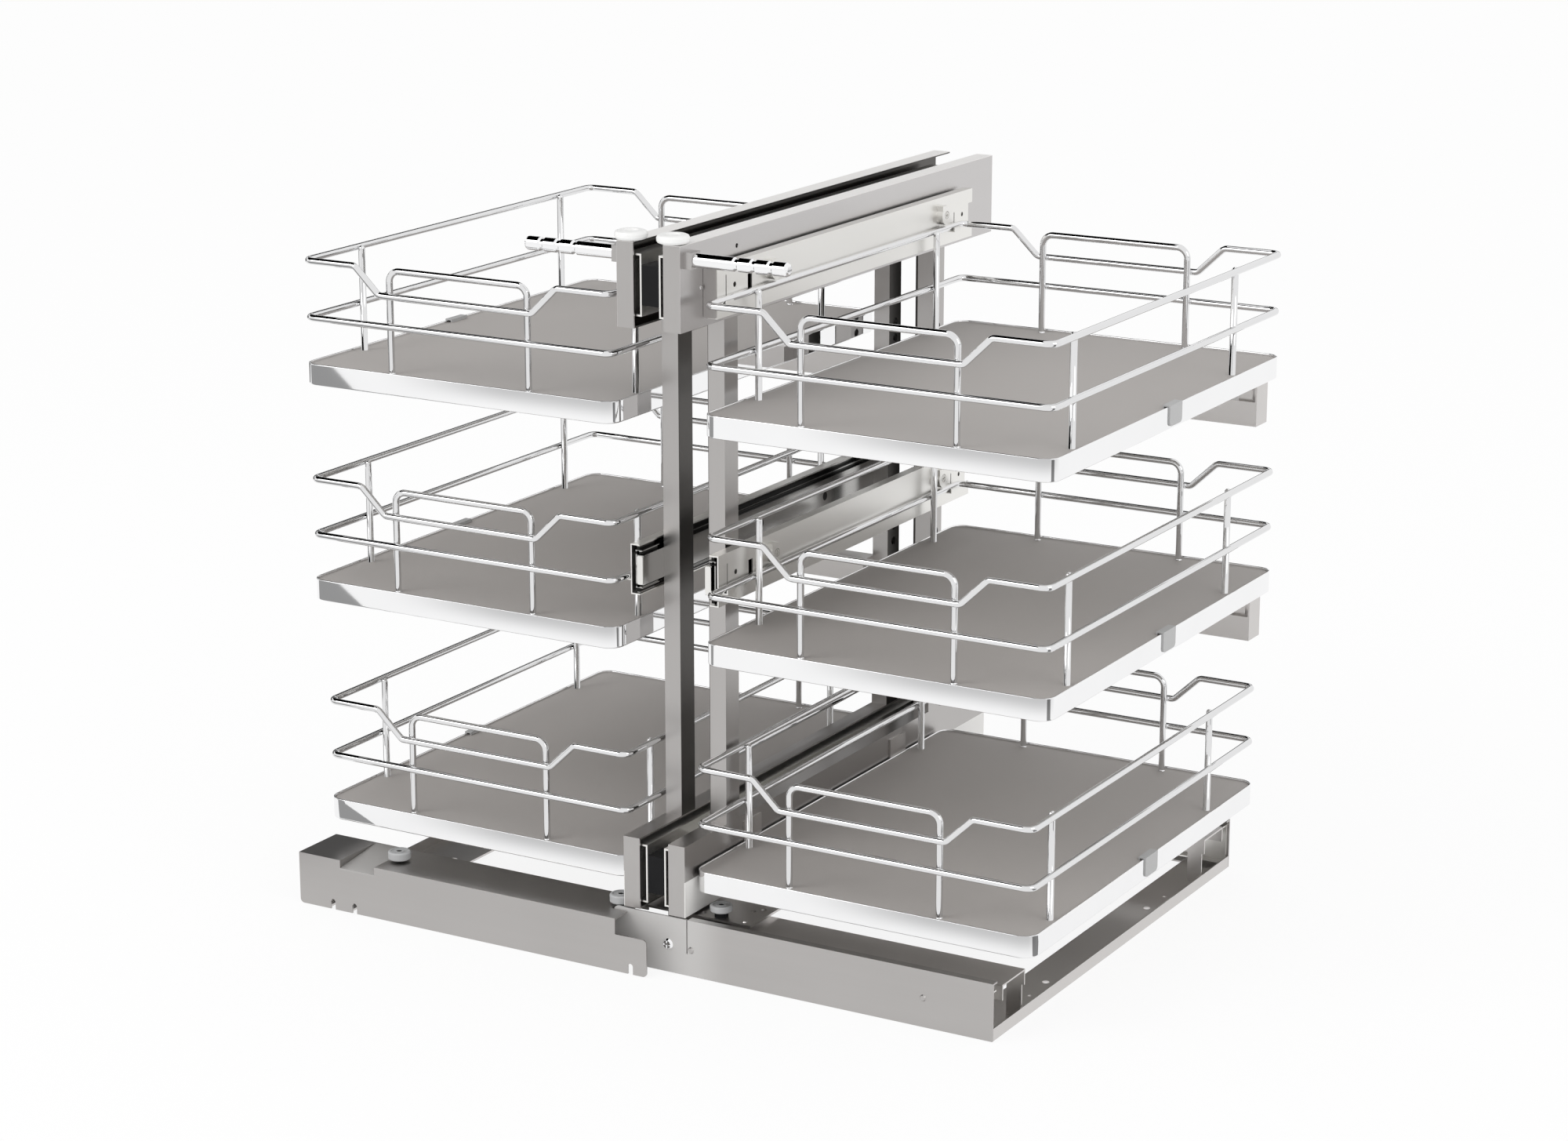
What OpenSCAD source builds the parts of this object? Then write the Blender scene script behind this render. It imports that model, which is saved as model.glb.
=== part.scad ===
// Blind corner pull out: two upright frames with wire baskets on a sideways carriage.
// Millimetres, +Z up, the front of the unit faces -Y, X = 0 lies midway between the frames.

/* [Frames] */
// Length of the frame channels from front to back
frame_depth = 565; // [520:1:620]
// Distance from the middle plane to the inner side of a frame
frame_offset = 14.5; // [14:0.5:16]
// Width of a frame channel and of its posts
channel_w = 16.5; // [16:0.5:20]
// Height of the bottom channel
bottom_channel_h = 64.5; // [62:0.5:72]
// Height of the top channel
top_channel_h = 73; // [68:0.5:80]
// Height of the top of the frames above the floor
frame_top = 638.5; // [600:0.5:760]
// Depth of a post from front to back
post_d = 22; // [16:1:30]
// Distance from the front of the channels to the front post
post_front = 70; // [60:1:90]
// Thickness of the bent steel sheet
sheet = 1.5; // [1.2:0.1:1.8]

/* [Baskets] */
// Length of a basket between its wire centre lines
basket_len = 318; // [270:1:360]
// Depth of a basket between its wire centre lines
basket_depth = 458; // [440:1:470]
// Diameter of the basket wire
wire_d = 6; // [5:0.5:6.5]
// Height of the tray rim
rim_h = 19.5; // [17:0.5:24]
// Radius of the tray corners
tray_r = 14; // [10:1:20]
// Height of the upper wire over the underside of the tray
basket_h = 111; // [100:1:125]
// Drop of the upper wire at the front and the back
dip_drop = 24; // [18:1:28]
// Width of the wire handle loop
loop_w = 144; // [120:1:160]
// Distance between the top tray and the middle tray
tier_pitch = 198; // [190:1:212]

/* [Slides] */
// Height of the heavy frame slides
frame_slide_h = 53; // [46:0.5:56]
// Height of the basket slides
basket_slide_h = 45; // [38:0.5:46]
// Thickness of the basket slides
basket_slide_t = 13; // [12.5:0.1:13.5]
// Length of the basket slides
basket_slide_len = 462; // [440:1:480]
// Height of the sideways slides in the base
cross_slide_h = 36; // [33:0.5:37]
// Diameter of the eccentric knobs on the basket slides
knob_d = 18; // [14:0.5:18]

/* [Base] */
// Depth of the base from front to back
base_depth = 490; // [480:1:500]
// Height of the right front rail
rail_h = 51; // [50:0.5:51]
// Right end of the base, from the middle plane
base_right = 328.4; // [327:0.1:340]
// Left end of the base, from the middle plane
base_left = 368; // [366:0.1:380]
// How far the left covers stand out in front of the rails
cover_lead = 22; // [16:1:24]
// Height of the left covers
cover_h = 48.5; // [47:0.5:48.5]
// Distance between the floor screw holes along X
screw_pitch_x = 620; // [600:1:640]
// Distance between the floor screw holes along Y
screw_pitch_y = 208; // [160:1:260]
// Diameter of the floor screw holes
screw_d = 6.5; // [5:0.1:8]

/* [Handles] */
// Diameter of the handle bars
handle_d = 12; // [10:0.5:13]
// Reach of a handle bar from the side of its frame
handle_len = 97; // [85:1:120]
// Distance between the grooves of a handle grip
bead_pitch = 16.4; // [12:0.2:18]
// Diameter of the white top rollers
disc_d = 28; // [22:1:30]

/* [Hidden] */
$fn = 48;
// Gap that leaves a running part free
run = 0.4;
// Gap between the floor plates of the base and the frames above them
frame_z = 52.5;
// Thin plate of the carriage
plate_t = 2;
// Middle of the whole unit from front to back
y_mid = (frame_depth - cover_lead) / 2;
// Outer side of a frame
frame_x = frame_offset + channel_w;
bottom_channel_top = frame_z + bottom_channel_h;
top_channel_z = frame_top - top_channel_h;
post_rear = frame_depth - 118;
// Heavy slides fill the space from the spacer blocks to the channel web
block_w = 17;
frame_slide_t = frame_x - sheet - block_w / 2;
frame_slide_len = frame_depth - 25;
frame_slide_y = 3;
bottom_slide_z = frame_z + bottom_channel_h / 2;
top_slide_z = top_channel_z + top_channel_h / 2;
// Basket places
wire_r = wire_d / 2;
slide_face = frame_x + basket_slide_t;
wire_x = slide_face + wire_r + 0.3;
basket_x = wire_x + basket_len / 2;
basket_y = 14 + basket_depth / 2;
fixed_shift = 10.8;
top_rim_z = top_channel_z - 88;
middle_rim_z = top_rim_z - tier_pitch;
bottom_rim_z = frame_z + 21.5;
rim_t = 1.5;
rim_over = 3.7;
rim_len = basket_len + 2 * rim_over;
rim_depth = basket_depth + 2 * rim_over;
clip_w = 25;
clip_t = 1.2;
clip_low = 2.5;
clip_r = 4;
clip_hook = 6;
floor_drop = 2;
floor_t = 3;
rib_t = 3;
rib_h = 12;
middle_wire_h = 60;
bend_r = 8;
dip_w = 160;
// slope with a half angle whose tangent is 0.4, so that its bends end at whole sizes
dip_slope = dip_drop * 1.05;
slope_r = 7.5;
post_in = wire_d - 0.6;
side_pitch = 322;
side_mid = 8;
stagger = 28;
// Basket slide places, measured from the wire that each slide carries
basket_slide_y = 37;
wire_drop = 6.5;
top_basket_slide_z = top_rim_z + basket_h + wire_drop;
middle_basket_slide_z = middle_rim_z + middle_wire_h + wire_drop;
slide_sheet = 1.2;
// Knobs clamp the wire from above and hooks hold it from below, as distances from the slide's front end
knob_rise = wire_r + knob_d / 2 - wire_drop + 1;
knob_y = [89, 400];
knob_t = 6.5;
hook_y = [8.5, 418];
hook_half = 6;
// Slits as place, low end and high end, and holes as place, height and diameter
slide_slits = [[14, -8, 13], [basket_slide_len - 37, -6.3, 4.8]];
slide_holes = [[28.6, 2.7, 4.5], [20, -12.3, 2.5], [basket_slide_len - 20.6, 0.9, 4]];
slide_window = [[50, -4.5], [57, 8]];
slide_notch = [[basket_slide_len - 8, -10], [basket_slide_len + 1, 9.5]];
// Base places
rear_y = base_depth;
cross_y = plate_t;
cross_t = 13;
cross_z = 6 + cross_slide_h / 2;
top_sheet_z = 44.5;
top_sheet_front = 17.5;
top_sheet_d = 42;
cross_outer_x = [-40, 326];
cross_middle_x = [-190, 110];
cross_inner_x = [-330, -30];
carriage_z = 50;
carriage_x = [-26, 86];
strip_w = 42;
left_strip = [-351, -293];
recess = [-322, -284];
cover_step = -27;
cover_d = 56;
cover_end = 5;
cover_low = 34;
notch_x = [-331, -307, -11.5];
notch_w = 5.2;
notch_h = 7;
stop_d = 20.5;
stop_h = 7.5;
stop_foot = 1.5;
stop_x = [-frame_x - stop_d / 2 - 0.8, -275];
stop_y = [12.5, 5];
pin_d = 5;
bore_d = 5.1;
guide_at = [52, 26];
guide_d = 20;
guide_h = 6;
guide_foot = 4.6;
arm_y = basket_y + 185;
arm_d = 24;
arm_h = 22;
arm_low = 37.5;
arm_gap = 0.3;
pad_d = 13;
bottom_arm_len = basket_len - 28;
bottom_arm_d = 20;
bottom_arm_h = 10;
bottom_arm_y = [basket_y - 140, basket_y + 130];
handle_y = 12;
handle_z = frame_top - 12.5;
// Handle grip: a collar against the frame, then a bar whose end is cut into beads
collar = 14;
collar_len = 8;
bead_count = 3;
groove_w = 2.4;
groove_depth = 1.5;
tip_round = 2.5;
// Top roller, which overhangs the front of its channel
disc_x = frame_offset + channel_w / 2 - 2.25;
disc_y = 6.5;
disc_gap = 0.6;
disc_h = 7.6;
channel_hole = [91, 13.2];
channel_rivet = [33, 39.6];
post_hole_d = 8;
post_hole_rise = [-1, 14];
column_y = base_depth - 3;
column_d = 25;
rail_left = -41.6;
rail_tab = 32.1;
rail_slit = 1.2;
rail_slit_z = 20;
rail_lip = 8;
rail_foot = 12;
strap_x = [60, 170, 290];
strap_w = 20;
strip_t = 2;
strip_rise = 11;
pilot_x = 311.5;
pilot_out = 35;
pilot_d = 3.5;
carriage_arm = [-90, 40];
carriage_low = 10;
carriage_web = 18;
carriage_d = 59;
carriage_holes = [[34, 26], [70, 50], [76, 58]];
carriage_rivet = [77, 24];
carriage_stand = [45, 75];
screw_at = [13.4, 25.6];
screw_head = 10;
screw_slot = [7, 1.6];
rail_rivets = [[36.8, 24], [263.4, 26]];
rivet_d = 6;

// Which piece is drawn

// Moves a piece from "0 at the front of the channels" to the middle of the unit
module placed() {
  translate([0, -y_mid, 0]) children();
}

// Draws a piece of the right side there, or mirrored on the left side
module on_side(side) {
  mirror([side == "left" ? 1 : 0, 0, 0]) children();
}

// Draws a piece of the front there and again at the rear of the base
module front_and_rear() {
  children();
  translate([0, base_depth, 0]) mirror([0, 1, 0]) children();
}

// Section in X and Z carried along Y
module along_y(start, len) {
  translate([0, start + len, 0]) rotate([90, 0, 0]) linear_extrude(len) children();
}

// Section in Y and Z carried along X
module along_x(start, len) {
  translate([start, 0, 0]) rotate([90, 0, 90]) linear_extrude(len) children();
}

// Box given by its two opposite corners
module block(low, high) {
  translate(low) cube(high - low);
}

// Slide sections: the outer web lies at 0 and the inner web ends at the thickness t
module slide_outer_section(h, t, s) {
  difference() {
    translate([0, -h / 2]) square([t * 0.7, h]);
    translate([s, -h / 2 + s]) square([t, h - 2 * s]);
  }
}

module slide_middle_section(h, t, s) {
  half = h * 0.39;
  inner = h * 0.29 + run;
  outer = h / 2 - s - run;
  // web and one flange, with a row of balls outside and one inside the flange
  upper = [
    [t * 0.3, half], [t * 0.4, half], [t * 0.4, outer], [t * 0.62, outer], [t * 0.62, half],
    [t * 0.82, half], [t * 0.82, half - s], [t * 0.76, half - s], [t * 0.76, inner],
    [t * 0.58, inner], [t * 0.58, half - s], [t * 0.3 + s, half - s]
  ];
  n = len(upper);
  lower = [for (i = [0 : n - 1]) [upper[n - 1 - i].x, -upper[n - 1 - i].y]];
  polygon(concat(upper, lower));
}

module slide_inner_section(h, t, s) {
  half = h * 0.29;
  difference() {
    translate([t * 0.52, -half]) square([t * 0.48, 2 * half]);
    translate([t * 0.52 - 1, -half + s]) square([t * 0.48 + 1 - s, 2 * half - 2 * s]);
  }
}

// Plan of a tray with round corners, about its own middle
module tray_plan(len, depth, r) {
  square([len - 2 * r, depth], center = true);
  square([len, depth - 2 * r], center = true);
  for (x = [-1, 1]) {
    for (y = [-1, 1]) {
      translate([x * (len / 2 - r), y * (depth / 2 - r)]) circle(r);
    }
  }
}

// Straight wire from a to b
module wire(a, b, d) {
  v = b - a;
  n = norm(v);
  translate(a) rotate([0, acos(v.z / n), atan2(v.y, v.x)]) cylinder(d = d, h = n);
}

// Round bend at corner p between the directions from and to
module bend(p, from, to, r, d) {
  u = from / norm(from);
  w = to / norm(to);
  turn = acos(u * w);
  reach = r * tan(turn / 2);
  side = (w - u * (u * w)) / norm(w - u * (u * w));
  axis = cross(u, side);
  start = p - u * reach;
  middle = start + side * r;
  multmatrix([
    [-side.x, u.x, axis.x, middle.x],
    [-side.y, u.y, axis.y, middle.y],
    [-side.z, u.z, axis.z, middle.z],
    [0, 0, 0, 1]
  ]) rotate_extrude(angle = turn) translate([r, 0]) circle(d = d);
}

// Distance that a bend takes from its corner
function bend_reach(a, p, b, r) =
  let (u = (p - a) / norm(p - a), w = (b - p) / norm(b - p)) r * tan(acos(u * w) / 2);

// True where a direction lies along X, Y or Z
function is_square(v) = max(abs(v.x), abs(v.y), abs(v.z)) > 0.999 * norm(v);

// Wire that follows the points of a closed ring with round bends.
// A sloping piece is slightly thinner and reaches into its two bends.
module wire_ring(points, r, slope_r, d) {
  n = len(points);
  for (i = [0 : n - 1]) {
    a = points[(i + n - 1) % n];
    p = points[i];
    b = points[(i + 1) % n];
    c = points[(i + 2) % n];
    go = (b - p) / norm(b - p);
    here = is_square(p - a) && is_square(b - p) ? r : slope_r;
    next = is_square(b - p) && is_square(c - b) ? r : slope_r;
    tuck = is_square(b - p) ? 0 : 1;
    if (is_square(p - a)) {
      bend(p, p - a, b - p, here, d);
    } else {
      bend(p, p - b, a - p, here, d);
    }
    wire(
      p + go * (bend_reach(a, p, b, here) - tuck),
      b - go * (bend_reach(p, b, c, next) - tuck),
      d - 0.2 * tuck
    );
  }
}

// Colours of the real finishes
steel = [0.63, 0.62, 0.60];
light = [0.83, 0.82, 0.80];
chrome = [0.88, 0.88, 0.89];
taupe = [0.55, 0.52, 0.48];
black = [0.08, 0.08, 0.08];
white = [0.95, 0.95, 0.93];
grey = [0.66, 0.67, 0.68];

// Turned roller with a bore, edge chamfers and a ring sunk in its top
module roller(d, h, bore) {
  r = d / 2;
  b = bore / 2;
  rotate_extrude() polygon([
    [b, 0], [r - 1, 0], [r, 1], [r, h - 1], [r - 1, h], [r - 2.5, h],
    [r - 2.5, h - 0.8], [b + 2, h - 0.8], [b + 2, h], [b, h]
  ]);
}

// Shape that rounds a corner of an outline when it is cut away; dir points into the outline
module corner_cut(at, dir, r) {
  translate(at) mirror([dir.x < 0 ? 1 : 0, 0]) mirror([0, dir.y < 0 ? 1 : 0]) difference() {
    translate([-1, -1]) square(r + 1);
    translate([r, r]) circle(r);
  }
}

// Round-headed rivet or screw head that stands out along -Y
module stud(d, h) {
  rotate([90, 0, 0]) cylinder(d1 = d, d2 = d * 0.7, h = h);
}

// Base: plate that faces outwards, with a lip along its top and a foot along the floor
module rail_plate(h) {
  slit_end = rail_tab + rail_slit;
  along_y(0, plate_t) difference() {
    translate([rail_left, 0]) square([base_right - rail_left, h]);
    translate([rail_tab, rail_slit_z]) square([rail_slit, h]);
    corner_cut([rail_left, h], [1, -1], 4);
  }
  along_x(slit_end, base_right - slit_end) translate([0, h - sheet]) square([rail_lip, sheet]);
  block([rail_left, 0, 0], [base_right - strip_w - 1, rail_foot, sheet]);
}

module right_front_rail() {
  color(steel) placed() rail_plate(rail_h);
}

module right_rear_rail() {
  color(steel) placed() translate([0, rear_y, 0]) mirror([0, 1, 0]) rail_plate(carriage_z - 3);
}

module rail_top_sheets() {
  lip = 14;
  start = rail_tab + rail_slit;
  color(steel) placed() front_and_rear() {
    along_x(start, base_right - start) difference() {
      translate([top_sheet_front, top_sheet_z - lip]) square([top_sheet_d, lip]);
      translate([top_sheet_front + sheet, top_sheet_z - lip - 1])
        square([top_sheet_d - 2 * sheet, lip + 1 - sheet]);
    }
    // straps that join the sheet to the rail plate, and a foot on the floor strip
    for (x = strap_x) {
      block([x, plate_t, top_sheet_z - sheet], [x + strap_w, top_sheet_front + 1, top_sheet_z]);
    }
    block(
      [base_right - 16.4, top_sheet_front + top_sheet_d - sheet, strip_t],
      [base_right - 2.4, top_sheet_front + top_sheet_d, top_sheet_z - lip + 1]
    );
  }
}

// Left cover: the front is notched below, pressed down between its two tops and stepped at its right end
module cover_shape() {
  back = cover_d - cover_lead;
  sunk = cover_h - 7.5;
  corner = 4;
  difference() {
    union() {
      along_y(-cover_lead, sheet) difference() {
        polygon([
          [-base_left, 0], [cover_end, 0], [cover_end, cover_low], [cover_step, cover_low],
          [cover_step, cover_h], [recess[1], cover_h], [recess[1], sunk], [recess[0], sunk],
          [recess[0], cover_h], [-base_left, cover_h]
        ]);
        corner_cut([-base_left, 0], [1, 1], corner);
        corner_cut([cover_end, 0], [-1, 1], corner);
        corner_cut([cover_end, cover_low], [-1, -1], corner);
      }
      block([recess[1], -cover_lead, cover_h - sheet], [cover_step, back, cover_h]);
      block([recess[1], back - sheet, cover_h - 10], [cover_step, back, cover_h]);
      block([-base_left, -cover_lead, cover_h - sheet], [recess[0], back, cover_h]);
      block([-base_left, back - sheet, cover_h - 10], [recess[0], back, cover_h]);
      // the pressed stretch rises from the front to the back edge of the top
      along_x(recess[0] - 1, recess[1] - recess[0] + 2) polygon([
        [-cover_lead, sunk - sheet], [-cover_lead, sunk], [back, cover_h], [back, cover_h - sheet]
      ]);
    }
    for (x = notch_x) {
      block(
        [x - notch_w / 2, -cover_lead - 1, -1],
        [x + notch_w / 2, -cover_lead + sheet + 1, notch_h]
      );
      translate([x, -cover_lead - 1, notch_h]) rotate([-90, 0, 0]) cylinder(d = notch_w, h = sheet + 2);
    }
    // room for the tab of the rail plate behind the cover
    block([rail_left - 1.4, -1.5, cover_h - 11], [cover_step + 1, plate_t + 1.5, cover_h + 1]);
  }
}

module left_front_cover() {
  color(steel) placed() cover_shape();
}

module left_rear_cover() {
  color(steel) placed() translate([0, rear_y, 0]) mirror([0, 1, 0]) cover_shape();
}

module floor_strips() {
  middle = base_depth / 2 - 3;
  color(steel) placed() difference() {
    union() {
      block([base_right - strip_w, plate_t, 0], [base_right, base_depth - plate_t, strip_t]);
      block([base_right - sheet, plate_t, 0], [base_right, base_depth - plate_t, strip_rise]);
      block(
        [left_strip[0], sheet - cover_lead, 0],
        [left_strip[1], base_depth + cover_lead - sheet, strip_t]
      );
      block(
        [left_strip[0], sheet - cover_lead, 0],
        [left_strip[0] + sheet, base_depth + cover_lead - sheet, strip_rise]
      );
    }
    // slots behind the notches of the covers
    for (x = [notch_x[0], notch_x[1]]) {
      for (y = [-cover_lead, base_depth]) {
        block([x - notch_w, y, -1], [x + notch_w, y + cover_lead, strip_t + 1]);
      }
    }
    for (x = [-1, 1]) {
      for (y = [-1, 1]) {
        translate([x * screw_pitch_x / 2, middle + y * screw_pitch_y / 2, -1])
          cylinder(d = screw_d, h = strip_t + 2);
        translate([x * pilot_x, middle + y * (screw_pitch_y / 2 + pilot_out), -1])
          cylinder(d = pilot_d, h = strip_t + 2);
      }
    }
  }
}

module cross_slide_outers() {
  color(light) placed() front_and_rear() along_x(cross_outer_x[0], cross_outer_x[1] - cross_outer_x[0])
    translate([cross_y, cross_z]) slide_outer_section(cross_slide_h, cross_t, slide_sheet);
}

module cross_slide_middles() {
  color(light) placed() front_and_rear() along_x(cross_middle_x[0], cross_middle_x[1] - cross_middle_x[0])
    translate([cross_y, cross_z]) slide_middle_section(cross_slide_h, cross_t, slide_sheet);
}

module cross_slide_inners() {
  color(light) placed() front_and_rear() along_x(cross_inner_x[0], cross_inner_x[1] - cross_inner_x[0])
    translate([cross_y, cross_z]) slide_inner_section(cross_slide_h, cross_t, slide_sheet);
}

module base_fasteners() {
  color(chrome) placed() front_and_rear() {
    difference() {
      translate([screw_at[0], 0, screw_at[1]]) stud(screw_head, plate_t);
      for (s = [screw_slot, [screw_slot[1], screw_slot[0]]]) {
        translate([screw_at[0], -plate_t, screw_at[1]]) cube([s[0], plate_t, s[1]], center = true);
      }
    }
    for (p = rail_rivets) {
      translate([p[0], 0, p[1]]) stud(rivet_d, rivet_d / 5);
    }
  }
}

module roller_studs() {
  color(black) placed() for (i = [0, 1]) {
    translate([stop_x[i], stop_y[i], cover_h]) {
      cylinder(d = 2 * pin_d, h = stop_foot);
      cylinder(d = pin_d, h = stop_foot + run + stop_h - 0.6);
    }
  }
}

module stop_roller(i) {
  color(grey) placed() translate([stop_x[i], stop_y[i], cover_h + stop_foot + run])
    roller(stop_d, stop_h, bore_d);
}

// Carriage: bent sheet from the sideways slide, under the rail top sheet, up to a plate above it
module carriage_plates() {
  web = cross_y + cross_t;
  rise = top_sheet_front + top_sheet_d + 4.5;
  color(steel) placed() {
    front_and_rear() {
      along_x(carriage_arm[0], carriage_arm[1] - carriage_arm[0]) {
        translate([web, carriage_low]) square([plate_t, carriage_web]);
        translate([web, carriage_low]) square([rise + plate_t - web, plate_t]);
      }
      block([carriage_x[0], rise, carriage_low], [carriage_arm[1], rise + plate_t, carriage_z]);
      difference() {
        block(
          [carriage_x[0], top_sheet_front, carriage_z - plate_t],
          [carriage_x[1], top_sheet_front + carriage_d, carriage_z]
        );
        for (p = carriage_holes) {
          translate([p[0], p[1], carriage_z - 2 * plate_t]) cylinder(d = pin_d, h = 3 * plate_t);
        }
      }
      translate([carriage_rivet[0], carriage_rivet[1], carriage_z - 0.5])
        cylinder(d1 = rivet_d, d2 = rivet_d * 0.7, h = 1.5);
      block(
        [-block_w / 2, carriage_stand[0], carriage_z - 1],
        [block_w / 2, carriage_stand[1], bottom_slide_z + 16]
      );
    }
    block(
      [-block_w / 2 - 2, base_depth - column_d, carriage_z - plate_t],
      [block_w / 2 + 2, column_y + column_d, carriage_z]
    );
  }
}

module centre_column() {
  wall = 2;
  color(steel) placed() translate([-block_w / 2, column_y, carriage_z])
    linear_extrude(top_slide_z + frame_slide_h / 2 - carriage_z) difference() {
      square([block_w, column_d]);
      translate([wall, wall]) square([block_w - 2 * wall, column_d - 2 * wall]);
    }
}

module centre_rails() {
  color(light) placed() for (side = ["left", "right"]) {
    on_side(side) for (z = [bottom_slide_z, top_slide_z]) {
      along_y(frame_slide_y, frame_slide_len) translate([block_w / 2, z])
        slide_outer_section(frame_slide_h, frame_slide_t, 1.6);
    }
  }
}

module spacer_blocks() {
  half = 17;
  color(black) placed() {
    for (z = [bottom_slide_z, top_slide_z]) {
      block([-block_w / 2, frame_slide_y, z - half], [block_w / 2, frame_slide_y + 24, z + half]);
    }
    // stud of the guide roller
    translate([guide_at[0], guide_at[1], carriage_z]) {
      cylinder(d = 2.4 * pin_d, h = guide_foot);
      cylinder(d = pin_d, h = guide_foot + run + guide_h - 0.6);
    }
  }
}

module guide_roller() {
  color(grey) placed() translate([guide_at[0], guide_at[1], carriage_z + guide_foot + run])
    roller(guide_d, guide_h, bore_d);
}

// Frame: channel of bent sheet that is open towards the middle and closed at the front
module channel(z, h) {
  along_y(0, frame_depth) difference() {
    translate([frame_offset, z]) square([channel_w, h]);
    translate([frame_offset - 1, z + sheet]) square([channel_w + 1 - sheet, h - 2 * sheet]);
  }
  block([frame_offset, 0, z], [frame_x, sheet, z + h]);
}

module top_channel(side) {
  seat_z = frame_top - sheet / 2;
  color(steel) placed() on_side(side) {
    difference() {
      channel(top_channel_z, top_channel_h);
      translate([frame_x - 2 * sheet, channel_hole[0], frame_top - channel_hole[1]])
        rotate([0, 90, 0]) cylinder(d = 4, h = 4 * sheet);
    }
    translate([frame_x - 0.5, channel_rivet[0], frame_top - channel_rivet[1]]) rotate([0, 0, 90])
      stud(rivet_d * 0.8, 1.5);
    // seat and pin of the top roller
    translate([disc_x, disc_y, seat_z]) cylinder(d = 2.4 * pin_d, h = sheet / 2 + disc_gap);
    translate([disc_x, disc_y, seat_z]) cylinder(d = pin_d, h = sheet / 2 + disc_h / 2 + 0.4);
  }
}

module bottom_channel(side) {
  color(steel) placed() on_side(side) channel(frame_z, bottom_channel_h);
}

module posts(side) {
  color(steel) placed() on_side(side) for (y = [post_front, post_rear]) {
    difference() {
      translate([frame_offset, y, bottom_channel_top])
        linear_extrude(top_channel_z - bottom_channel_top) difference() {
          square([channel_w, post_d]);
          translate([sheet, sheet]) square([channel_w - 2 * sheet, post_d - 2 * sheet]);
        }
      // holes in the rear post, above each arm
      for (z = [top_rim_z, middle_rim_z], rise = post_hole_rise) {
        translate([frame_offset - 1, post_rear + post_d / 2, z + rise]) rotate([0, 90, 0])
          cylinder(d = post_hole_d, h = channel_w + 2);
      }
    }
  }
}

module frame_middles(side) {
  color(light) placed() on_side(side) for (z = [bottom_slide_z, top_slide_z]) {
    along_y(frame_slide_y, frame_slide_len) translate([block_w / 2, z])
      slide_middle_section(frame_slide_h, frame_slide_t, 1.6);
  }
}

module slide_inners(side) {
  color(light) placed() on_side(side) {
    for (z = [bottom_slide_z, top_slide_z]) {
      along_y(frame_slide_y, frame_slide_len) translate([block_w / 2, z])
        slide_inner_section(frame_slide_h, frame_slide_t, 1.6);
    }
    for (z = [middle_basket_slide_z, top_basket_slide_z]) {
      along_y(basket_slide_y, basket_slide_len) translate([slide_face, z]) mirror([1, 0])
        slide_inner_section(basket_slide_h, basket_slide_t, slide_sheet);
    }
  }
}

module handle(side) {
  r = handle_d / 2;
  low = r - groove_depth;
  half = groove_w / 2;
  bar = handle_len - collar_len;
  // outline of the turned bar, from inside the collar to its round tip
  outline = concat(
    [[0, -1], [r, -1]],
    [for (i = [bead_count : -1 : 1]) let (z = bar - i * bead_pitch) each [
      [r, z - half - groove_depth], [low, z - half], [low, z + half], [r, z + half + groove_depth]
    ]],
    [[r, bar - tip_round], [r - tip_round / 3, bar - tip_round / 3], [r - tip_round, bar], [0, bar]]
  );
  color(chrome) placed() on_side(side) {
    block(
      [frame_x, handle_y - collar / 2, handle_z - collar / 2],
      [frame_x + collar_len, handle_y + collar / 2, handle_z + collar / 2]
    );
    translate([frame_x + collar_len, handle_y, handle_z]) rotate([0, 90, 0]) rotate_extrude()
      polygon(outline);
  }
}

module top_roller(side) {
  r = disc_d / 2;
  b = bore_d / 2;
  sunk = disc_h - 1.2;
  blind = disc_h - 3;
  color(white) placed() on_side(side)
    translate([disc_x, disc_y, frame_top + disc_gap + run]) rotate_extrude() polygon([
      [b, 0], [r - 3, 0], [r - 1, 0.8], [r, 2.4], [r, disc_h - 2.6], [r - 1, disc_h - 0.8], [r - 3, disc_h],
      [6.6, disc_h], [6, sunk], [0, sunk], [0, blind], [b, blind]
    ]);
}

// Arm under the outer end of a sliding tray, fixed to the rear post, with a half-round pad on top
module rear_arm(z) {
  top = z - arm_gap;
  tip = basket_x + rim_len / 2 - 3;
  low = z - arm_low;
  block([frame_x, arm_y, low], [tip, arm_y + sheet, low + arm_h]);
  block([frame_x, arm_y, low + arm_h - sheet], [tip, arm_y + arm_d, low + arm_h]);
  block([tip - sheet, arm_y, low], [tip, arm_y + arm_d, top]);
  block([frame_x, arm_y, low], [frame_x + sheet, post_rear + post_d, low + arm_h]);
  translate([tip - 1.5 * pad_d, arm_y + arm_d / 2, 0]) {
    block([0, -pad_d / 2, low + arm_h - sheet], [pad_d, pad_d / 2, top - pad_d / 2]);
    translate([0, 0, top - pad_d / 2]) rotate([0, 90, 0]) cylinder(d = pad_d, h = pad_d);
  }
}

// Tube that carries the fixed bottom tray, with a plate against the bottom channel
module bottom_arm(y) {
  low = bottom_rim_z - bottom_arm_h;
  along_x(frame_x, bottom_arm_len) difference() {
    translate([y, low]) square([bottom_arm_d, bottom_arm_h]);
    translate([y + sheet, low + sheet]) square([bottom_arm_d - 2 * sheet, bottom_arm_h - 2 * sheet]);
  }
  block([frame_x, y - 5, low], [frame_x + sheet, y + bottom_arm_d + 5, bottom_channel_top - 6]);
}

module support_arms(side) {
  color(steel) placed() on_side(side) {
    rear_arm(top_rim_z);
    rear_arm(middle_rim_z);
    for (y = bottom_arm_y) {
      bottom_arm(y);
    }
  }
}

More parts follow.
